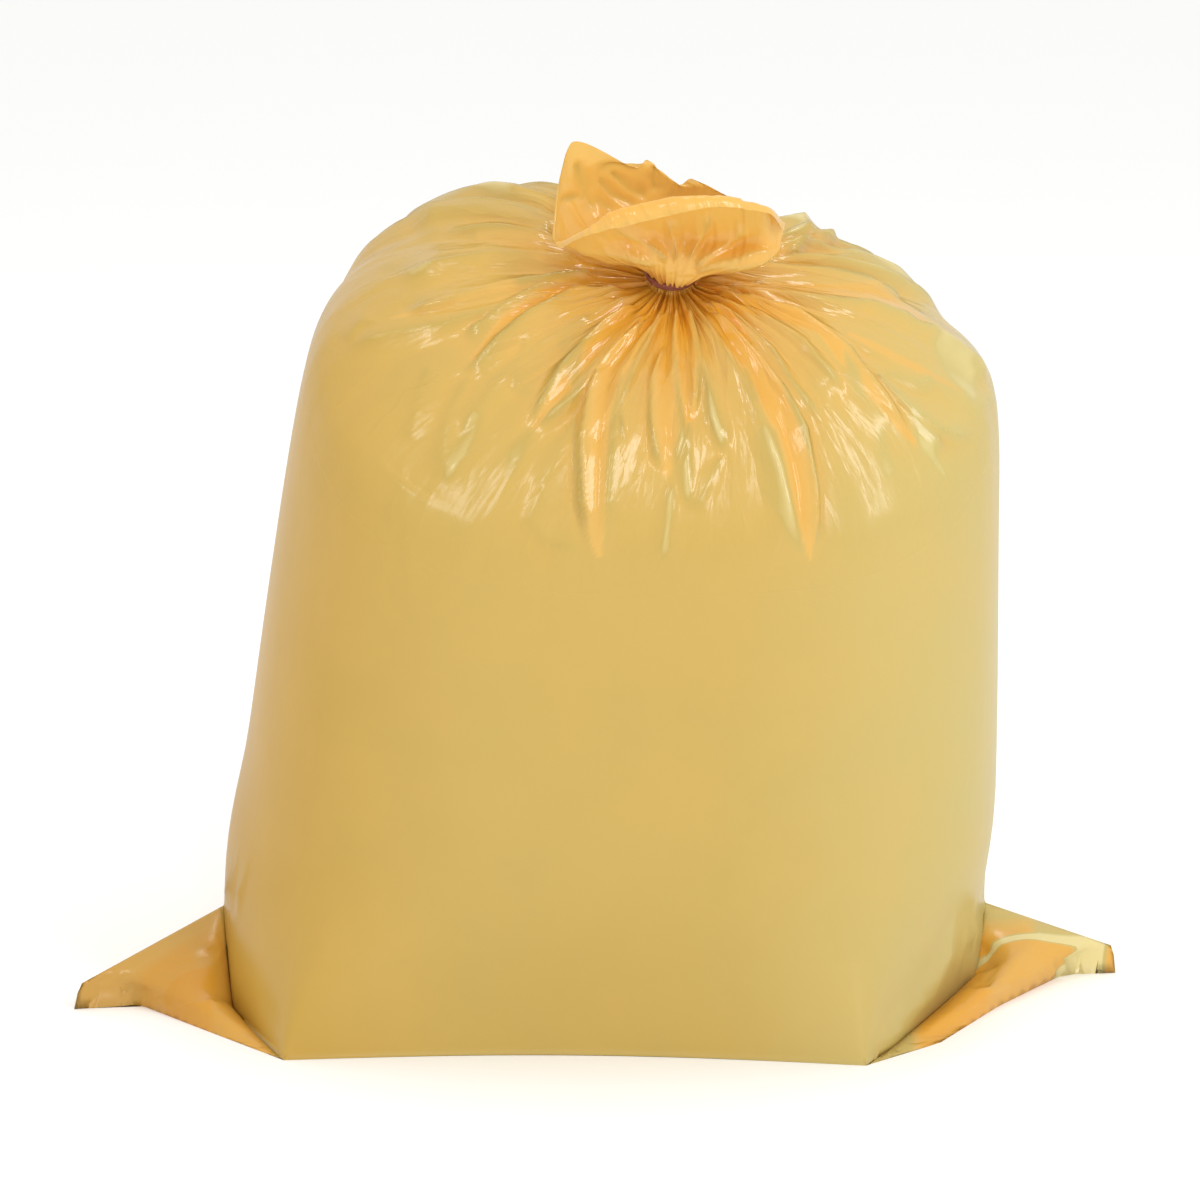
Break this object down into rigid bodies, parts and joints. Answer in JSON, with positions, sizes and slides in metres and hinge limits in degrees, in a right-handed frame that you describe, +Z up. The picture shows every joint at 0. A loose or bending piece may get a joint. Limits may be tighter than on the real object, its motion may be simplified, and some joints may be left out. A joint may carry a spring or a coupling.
{
  "type": "tied garbage bag",
  "caption": "Full plastic film garbage bag standing upright, gathered and tied at the neck with an elastic band, with a crumpled topknot and two splayed bottom corners.",
  "frame": {"origin": "on the floor, midway between the tips of the two bottom corners and midway between the front and back of the foot", "axes": "+Z up, +X from the left corner tip to the right one as seen from the front, -Y towards the front, where the tied neck is"},
  "size_m": [0.7, 0.374, 0.5766],
  "materials": {
    "bag_film": "glossy translucent yellow polyethylene film",
    "band_rubber": "satin reddish-brown natural rubber"
  },
  "bodies": {
    "root": {"bag": "bag_film", "neck_band": "band_rubber"}
  },
  "joints": []
}
